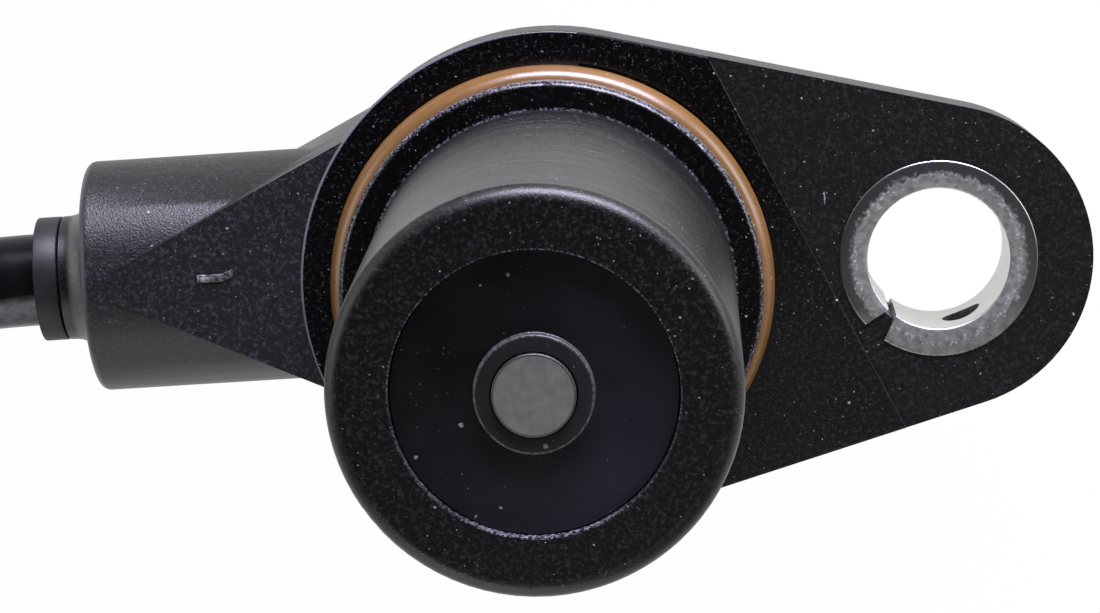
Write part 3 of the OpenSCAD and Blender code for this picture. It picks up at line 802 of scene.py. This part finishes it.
# %% [markdown]
# ### Black nylon: grain, dust and scratches
# Two noises give the skin: a fine pepper for the bare glass fibres and slow patches with a purple cast for
# the film of release agent. Dust comes in three sizes plus stretched lint. The scratches around the barrel
# are a noise squeezed along the barrel's axis, so each streak follows the turn of a bore.

# %% Skin of the housing
RELEASE_TINT, NECK_END_TINT = (1.02, 0.92, 1.36, 1), (1.02, 1.04, 0.9, 1)
pepper = noise(tree, place, 4600.0, 3.0, 0.75)
bare_fibre = remap(tree, pepper, 0.5, 0.68)
release = product(tree, remap(tree, noise(tree, place, 2600.0), 0.42, 0.6), to_neck)
tint = mix_colours(tree, release, (1.0, 0.99, 0.98, 1), RELEASE_TINT)
tint = mix_colours(tree, past_neck, tint, NECK_END_TINT)
resin_shade = mix_values(tree, on_web, 0.0008, 0.005)
fibre_shade = mix_values(tree, on_web, 0.017, 0.038)
flange_shade = mix_values(tree, bare_fibre, resin_shade, fibre_shade)
barrel_shade = mix_values(tree, bare_fibre, 0.0012, 0.0145)
shade = mix_values(tree, on_barrel, flange_shade, barrel_shade)
# The neck's end ring is painted pale, partly as painted light where the end faces the left lamp.
shade = mix_values(tree, neck_end, shade, 0.085)
# Painted shade: the lip beside the barrel's foot gets darker fibres than the rest of the pad.
pad_fibre_lip_shaded = mix_values(tree, on_lip, 0.032, 0.012)
pad_shade = mix_values(tree, remap(tree, pepper, 0.56, 0.7), 0.0007, pad_fibre_lip_shaded)
shade = mix_values(tree, polished, shade, pad_shade)
colour = add(tree, "ShaderNodeVectorMath", {0: tint, "Scale": shade}, operation="SCALE").outputs[0]
print("skin of the housing:", len(tree.nodes), "nodes")

# %% Scratches and dust of the housing
SCRATCH_COLOUR, RIM_COLOUR = (0.2, 0.2, 0.22, 1), (0.26, 0.26, 0.31, 1)
around = part_coordinates(tree, scale=(40, 40, 6000))
barrel_side = product(tree, between(tree, radial, 8.9, 9.06), between(tree, z, 3.0, 27.3))
scratched = product(tree, scratches_on(tree, around, 0.57, 0.72), barrel_side)
colour = mix_colours(tree, product(tree, scratched, 0.3), colour, SCRATCH_COLOUR)
coarse = dust_on(tree, place, 1300.0, 0.08, 0.9)
fine = dust_on(tree, place, 3600.0, 0.12, 0.75)
powder_share = mix_values(tree, on_lip, mix_values(tree, polished, 0.12, 0.4), 0.3)
powder = product(tree, dust_on(tree, place, 6500.0, 0.2, 0.5), powder_share)
lint_place = part_coordinates(tree, scale=(1, 0.14, 1), turn=(0.3, 0.2, 0.9))
lint = dust_on(tree, lint_place, 1300.0, 0.05, 0.4)
dusty = largest(tree, coarse, fine, powder, lint)
colour = mix_colours(tree, product(tree, dusty, 0.7), colour, DUST_COLOUR)
colour = mix_colours(tree, rims, colour, RIM_COLOUR)
print("skin, scratches and dust of the housing:", len(tree.nodes), "nodes")

# %% Relief and gloss of the housing
flange_depth = mix_values(tree, neck_side, 3.2e-5, 2.8e-5)
depth = mix_values(tree, largest(tree, on_barrel, past_neck), flange_depth, 1.4e-5)
depth = mix_values(tree, polished, depth, 5e-6)
normal = bump(tree, scratched, 4e-6, Normal=grain_on(tree, place, 9000.0, depth))
flange_gloss = mix_values(tree, neck_side, 0.43, 0.4)
barrel_gloss = mix_values(tree, bare_fibre, 0.34, 0.48)
roughness = mix_values(tree, on_barrel, flange_gloss, barrel_gloss)
roughness = mix_values(tree, polished, roughness, 0.25)
roughness = mix_values(tree, largest(tree, dusty, ear_step), roughness, 0.9)
feed(tree, surface, Base_Color=colour, Roughness=roughness, Normal=normal)
paint(nylon, housing)

# %% [markdown]
# ### Mould mark
# The raised bar rubs against everything the sensor lies on, so its nylon has gone dull. Its pale patches
# are a painted highlight, palest at the bar's left end, where its top catches the light.

# %% Rubbed nylon
painted_light, tree, surface = new_material("mark_nylon_highlit")
place = part_coordinates(tree)
# Painted highlight: palest at the bar's left end.
highlit_end = fade(tree, axes(tree, place)["X"], -16.8, -17.3, 0.3)
mark_highlight = product(tree, remap(tree, noise(tree, place, 5000.0), 0.38, 0.62), highlit_end)
colour = mix_colours(tree, mark_highlight, (0.014, 0.014, 0.016, 1), (0.34, 0.34, 0.35, 1))
roughness = remap(tree, mark_highlight, 0.0, 1.0, 0.4, 0.65)
feed(tree, surface, Base_Color=colour, Roughness=roughness, Normal=grain_on(tree, place, 9000.0, 1.2e-5))
paint(painted_light, mark)

# %% [markdown]
# ### Coil former
# The former was moulded in a polished tool, so it is smoother than the housing. Its colour is painted
# lighter and bluish towards the right and the bottom, as a painted reflection of the light from above. The
# nose around the pole is a little paler, and its edge carries a painted highlight.

# %% Former nylon
NOSE_COLOUR, NOSE_RIM_COLOUR = (0.012, 0.012, 0.0125, 1), (0.15, 0.15, 0.155, 1)
former, tree, surface = new_material("former_nylon")
place = part_coordinates(tree)
x, y, _ = axes(tree, place)
cloud = noise(tree, place, 160.0)
# Painted reflection: lighter and bluish towards the right and the bottom.
side = compute(tree, "SUBTRACT", product(tree, x, 0.8), product(tree, y, 0.6))
side = compute(tree, "ADD", side, remap(tree, cloud, 0.3, 0.7, -1.5 * MM, 1.5 * MM))
painted_light_side = fade(tree, side, -5, 5)
colour = mix_colours(tree, painted_light_side, (0.0008, 0.0008, 0.0009, 1), (0.0125, 0.0112, 0.0165, 1))
from_pole = distance_from_axis(tree)
nose = product(tree, below(tree, from_pole, 2.62), 0.8)
colour = mix_colours(tree, nose, colour, NOSE_COLOUR)
# Painted highlight on the nose's edge, broken into patches.
nose_rim_patches = remap(tree, noise(tree, place, 6000.0), 0.4, 0.6, 0.1, 0.5)
nose_rim = product(tree, between(tree, from_pole, 2.5, 2.62), nose_rim_patches)
colour = mix_colours(tree, nose_rim, colour, NOSE_RIM_COLOUR)
powder = product(tree, dust_on(tree, place, 4500.0, 0.16, 0.3), 0.35)
dusty = largest(tree, dust_on(tree, place, 900.0, 0.09, 0.85), powder)
colour = mix_colours(tree, product(tree, dusty, 0.5), colour, DUST_COLOUR)
roughness = mix_values(tree, dusty, remap(tree, cloud, 0.3, 0.7, 0.26, 0.36), 0.9)
feed(tree, surface, Base_Color=colour, Roughness=roughness, Normal=grain_on(tree, place, 4000.0, 4e-6))
paint(former, bobbin)

# %% [markdown]
# ### Seal rubber
# The seal is an orange-brown fluorine or silicone rubber, oiled for fitting. The oil is the Coat: a thin
# clear layer with its own sharper highlight over the satin rubber.

# %% Seal rubber
rubber, tree, surface = new_material("seal_rubber", Coat_Weight=0.22, Coat_Roughness=0.18)
place = part_coordinates(tree)
cloud = noise(tree, place, 300.0, 4.0)
colour = mix_colours(tree, cloud, (0.105, 0.052, 0.012, 1), (0.17, 0.084, 0.024, 1))
specks = product(tree, dust_on(tree, place, 1500.0, 0.1, 0.5), 0.6)
colour = mix_colours(tree, specks, colour, (0.6, 0.55, 0.5, 1))
roughness = remap(tree, cloud, 0.3, 0.7, 0.24, 0.34)
feed(tree, surface, Base_Color=colour, Roughness=roughness, Normal=grain_on(tree, place, 5000.0, 3e-6))
paint(rubber, seal)

# %% [markdown]
# ### Rolled steel
# The bushing's strip was sheared from sheet: the outer part of its end face is the smooth burnished band
# of the cut, the inner part is the rough break, and white flecks follow the line between them. The bore is
# as smooth as the sheet. Distance from the bolt's axis picks the zone, and a noise makes the line wander.

# %% Zones of the steel
steel, tree, surface = new_material("rolled_steel", Metallic=1.0)
place = part_coordinates(tree)
y = axes(tree, place)["Y"]
mottle = noise(tree, place, 2600.0, 4.0)
bolt_radial = distance_from_axis(tree, BOLT_AXIS.x)
wander = product(tree, compute(tree, "SUBTRACT", mottle, 0.5), 1.1 * MM)
from_axis = compute(tree, "ADD", bolt_radial, wander)
torn = largest(tree, fade(tree, from_axis, 4.42, 4.2), fade(tree, y, -2.2, -3.8))
bore = below(tree, bolt_radial, 3.54)
flecks = remap(tree, noise(tree, place, 6500.0, 3.0, 0.7), 0.52, 0.64)
flecks = product(tree, between(tree, from_axis, 4.0, 4.36), flecks, 0.7)
# The torn colour turns darker towards the bottom of the face.
darker_below = remap(tree, y, -2.4 * MM, -4.4 * MM, 0.0, 0.32)
print("zones of the steel:", len(tree.nodes), "nodes")

# %% Rolled steel
FLECK_COLOUR, BELOW_COLOUR = (0.95, 0.95, 0.94, 1), (0.1, 0.1, 0.09, 1)
BURNISHED_COLOUR, BORE_COLOUR = (0.32, 0.32, 0.32, 1), (0.56, 0.56, 0.54, 1)
torn_mottle = remap(tree, mottle, 0.32, 0.66)
torn_colour = mix_colours(tree, torn_mottle, (0.25, 0.25, 0.237, 1), (0.51, 0.51, 0.482, 1))
torn_colour = mix_colours(tree, flecks, torn_colour, FLECK_COLOUR)
torn_colour = mix_colours(tree, darker_below, torn_colour, BELOW_COLOUR)
colour = mix_colours(tree, torn, BURNISHED_COLOUR, torn_colour)
colour = mix_colours(tree, bore, colour, BORE_COLOUR)
roughness = mix_values(tree, torn, 0.3, 0.55)
roughness = mix_values(tree, bore, roughness, remap(tree, mottle, 0.3, 0.7, 0.3, 0.42))
pit_depth = product(tree, torn, compute(tree, "SUBTRACT", 1.0, bore), 1e-5)
feed(tree, surface, Base_Color=colour, Roughness=roughness, Normal=grain_on(tree, place, 5500.0, pit_depth))
paint(steel, bushing)

# %% [markdown]
# ### Ground iron
# The pole's end was ground flush with the nose. Grinding leaves parallel lines, so the noise is stretched
# along one direction. A slower noise adds pale stains of the coolant.

# %% Ground iron
STAIN_COLOUR, POLE_EDGE_COLOUR = (0.62, 0.62, 0.59, 1), (0.1, 0.1, 0.1, 1)
iron, tree, surface = new_material("ground_iron", Metallic=1.0)
drawn = part_coordinates(tree, scale=(5000, 500, 500), turn=(0, 0, 0.12))
lines = scratches_on(tree, drawn, 0.3, 0.75)
colour = mix_colours(tree, lines, (0.26, 0.26, 0.248, 1), (0.46, 0.46, 0.44, 1))
stain = remap(tree, noise(tree, part_coordinates(tree), 1700.0), 0.4, 0.65)
colour = mix_colours(tree, product(tree, stain, 0.3), colour, STAIN_COLOUR)
# Painted shade: the pole's edge is painted dark, so its rounded edge shows no highlight.
colour = mix_colours(tree, fade(tree, distance_from_axis(tree), 1.68, 1.78), colour, POLE_EDGE_COLOUR)
feed(tree, surface, Base_Color=colour, Roughness=remap(tree, lines, 0.0, 1.0, 0.5, 0.4))
paint(iron, pole)

# %% [markdown]
# ### Lead, grommet, tie and plug
# These are all dark or grey mouldings that differ in shade, gloss and grain, so one function makes them: a
# slow cloud for uneven cooling, a grain and a little dust. Near the grommet the lead's sheath gets a pale
# band along one side: a painted reflection of the front lamps. That stretch is nearly straight, so the
# band is a strip of the coordinates turned to the lead's slant.

# %% Mouldings
LEAD_SLANT, SHEATH_REFLECTION_COLOUR = math.radians(-5.5), (0.21, 0.206, 0.222, 1)


# Painted reflection: a pale band along one side of the lead near the grommet, for the front lamps mirrored
# in the sheath.
def painted_reflection_band(tree, place):
    x, _, z = axes(tree, place)
    across = axes(tree, part_coordinates(tree, turn=(0, 0, LEAD_SLANT)))["Y"]
    band = product(tree, fade(tree, across, 3.0, 2.35), fade(tree, across, 1.5, 2.3, 0.3))
    broken = remap(tree, noise(tree, place, 2200.0), 0.36, 0.6, 0.5, 1.0)
    return product(tree, band, above(tree, z, -6.2), broken, fade(tree, x, -35, -32))


def moulding(name, shade, roughness, grain_scale, grain_depth, specks_share, painted_light=None, **fixed):
    material, tree, surface = new_material(name, **fixed)
    place = part_coordinates(tree)
    cloud = noise(tree, place, 350.0)
    dark, pale = [(shade * k, shade * k * 0.97, shade * k * 1.1, 1) for k in (0.8, 1.25)]
    colour = mix_colours(tree, remap(tree, cloud, 0.35, 0.65), dark, pale)
    # The pale band is a painted reflection laid over the colour.
    if painted_light:
        colour = mix_colours(tree, painted_light(tree, place), colour, SHEATH_REFLECTION_COLOUR)
    specks = product(tree, dust_on(tree, place, 1000.0, 0.08, specks_share), 0.5)
    colour = mix_colours(tree, specks, colour, DUST_COLOUR)
    gloss = remap(tree, cloud, 0.3, 0.7, roughness * 0.85, roughness * 1.15)
    normal = grain_on(tree, place, grain_scale, grain_depth)
    feed(tree, surface, Base_Color=colour, Roughness=gloss, Normal=normal)
    return material


sheath = moulding("lead_sheath", 0.004, 0.27, 2500.0, 2e-6, 0.3, painted_reflection_band, Specular_IOR_Level=0.13)
paint(sheath, lead)
paint(moulding("grommet_rubber", 0.012, 0.5, 5000.0, 6e-6, 0.4, Specular_IOR_Level=0.3), grommet, boot)
paint(moulding("tie_nylon", 0.012, 0.35, 4000.0, 3e-6, 0.3), tie)
paint(moulding("plug_nylon", 0.012, 0.48, 6000.0, 1.4e-5, 0.5), shell)
paint(moulding("lock_plastic", 0.18, 0.4, 5000.0, 4e-6, 0.3), lock)

# %% [markdown]
# ### Wires
# The cores of the lead have coloured insulation, drawn through a die. It has faint lines along the wire
# and fades a little in patches. The same function serves the wires at the plug and the two cores inside
# the housing.


# %% Wire insulation
def insulation(name, colour):
    material, tree, surface = new_material(name, Specular_IOR_Level=0.4)
    along = part_coordinates(tree, scale=(300, 4000, 4000))
    lines = scratches_on(tree, along, 0.4, 0.7)
    faded = noise(tree, part_coordinates(tree), 700.0)
    dark, pale = [(*(channel * k for channel in colour), 1) for k in (0.8, 1.15)]
    shade = mix_colours(tree, remap(tree, faded, 0.35, 0.65), dark, pale)
    shade = mix_colours(tree, product(tree, lines, 0.12), shade, (0.6, 0.6, 0.6, 1))
    feed(tree, surface, Base_Color=shade, Roughness=remap(tree, lines, 0.0, 1.0, 0.36, 0.5))
    return material


paint(insulation("brown_insulation", (0.2, 0.08, 0.03)), nodes["wire_1"], nodes["core_a"])
paint(insulation("grey_insulation", (0.06, 0.06, 0.065)), nodes["wire_2"])
paint(insulation("white_insulation", (0.7, 0.69, 0.65)), nodes["wire_3"], nodes["core_b"])

# %% [markdown]
# ### Metals of the plug and of the coil
# Blades and terminals are tinned strip with rolling lines. The winding is enamelled copper: fine bands
# stand for its turns. The magnet is sintered from powder, so it is grey and grainy. Most of this stays
# hidden, but the part may be cut open.

# %% Tinned strip
tin, tree, surface = new_material("tinned_strip", Metallic=1.0)
rolled = scratches_on(tree, part_coordinates(tree, scale=(500, 6000, 6000)), 0.35, 0.72)
colour = mix_colours(tree, rolled, (0.5, 0.48, 0.43, 1), (0.74, 0.72, 0.67, 1))
feed(tree, surface, Base_Color=colour, Roughness=remap(tree, rolled, 0.0, 1.0, 0.28, 0.42))
paint(tin, *blades, nodes["terminal_a"], nodes["terminal_b"])

# %% Enamelled wire
copper, tree, surface = new_material("enamelled_wire", Metallic=1.0, Coat_Weight=0.5, Coat_Roughness=0.2)
winding = {"Vector": part_coordinates(tree), "Scale": 3900.0}
turns = add(tree, "ShaderNodeTexWave", winding, bands_direction="Z").outputs["Fac"]
colour = mix_colours(tree, turns, (0.2, 0.06, 0.02, 1), (0.55, 0.2, 0.08, 1))
roughness = remap(tree, turns, 0.0, 1.0, 0.45, 0.3)
feed(tree, surface, Base_Color=colour, Roughness=roughness, Normal=bump(tree, turns, 3e-5))
paint(copper, nodes["coil_winding"])

# %% Sintered magnet
sinter, tree, surface = new_material("sintered_alloy", Metallic=1.0)
place = part_coordinates(tree)
powder = noise(tree, place, 6000.0, 3.0, 0.7)
colour = mix_colours(tree, powder, (0.07, 0.07, 0.075, 1), (0.2, 0.2, 0.21, 1))
roughness = remap(tree, powder, 0.3, 0.7, 0.45, 0.65)
feed(tree, surface, Base_Color=colour, Roughness=roughness, Normal=grain_on(tree, place, 6000.0, 8e-6))
paint(sinter, nodes["magnet"])

# %% [markdown]
# ## Finish
# The last cell updates the scene and sets the Standard view transform.

# %% Finish
bpy.context.view_layer.update()
bpy.context.scene.view_settings.view_transform = "Standard"
